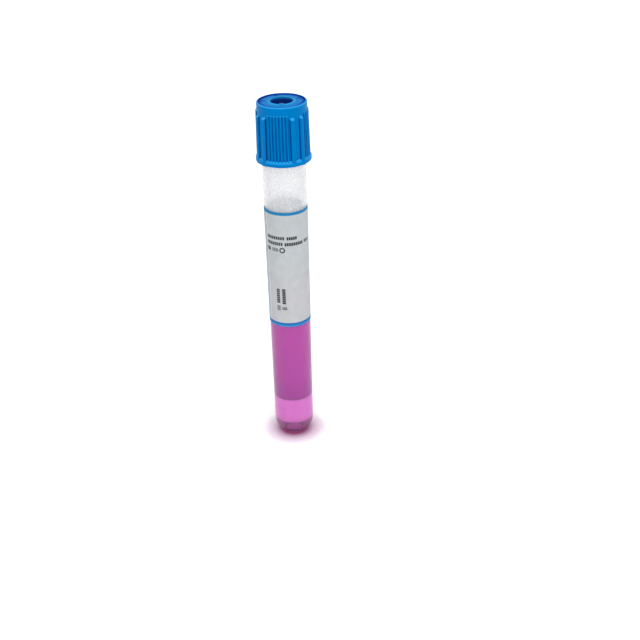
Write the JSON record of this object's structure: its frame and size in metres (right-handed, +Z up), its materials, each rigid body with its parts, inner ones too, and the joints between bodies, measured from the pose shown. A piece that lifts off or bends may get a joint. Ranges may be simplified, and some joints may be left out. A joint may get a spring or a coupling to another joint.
{
  "type": "specimen swab tube",
  "caption": "Clear round-ended specimen tube standing on a small moulded foot, with a wrap label, tinted liquid and a ribbed push-in closure that pulls off upward.",
  "frame": {"origin": "centre of the tube's flat foot, on the surface it stands on", "axes": "+Z up along the tube's axis towards the closure, -Y towards the reader of the label, +X to that reader's right"},
  "size_m": [0.016, 0.016, 0.1088],
  "materials": {
    "clear_plastic": "gloss",
    "tinted_liquid": "gloss",
    "label_film": "matte",
    "stopper_rubber": "matte",
    "closure_plastic": "satin"
  },
  "bodies": {
    "vial": {"tube": "clear_plastic", "liquid": "tinted_liquid", "label": "label_film"},
    "closure": {"closure_shell": "closure_plastic", "stopper": "stopper_rubber"}
  },
  "joints": [
    {"name": "closure_pull", "type": "slide", "parent": "vial", "child": "closure", "axis": [0, 0, 1], "range_m": [0, 0.03]}
  ]
}
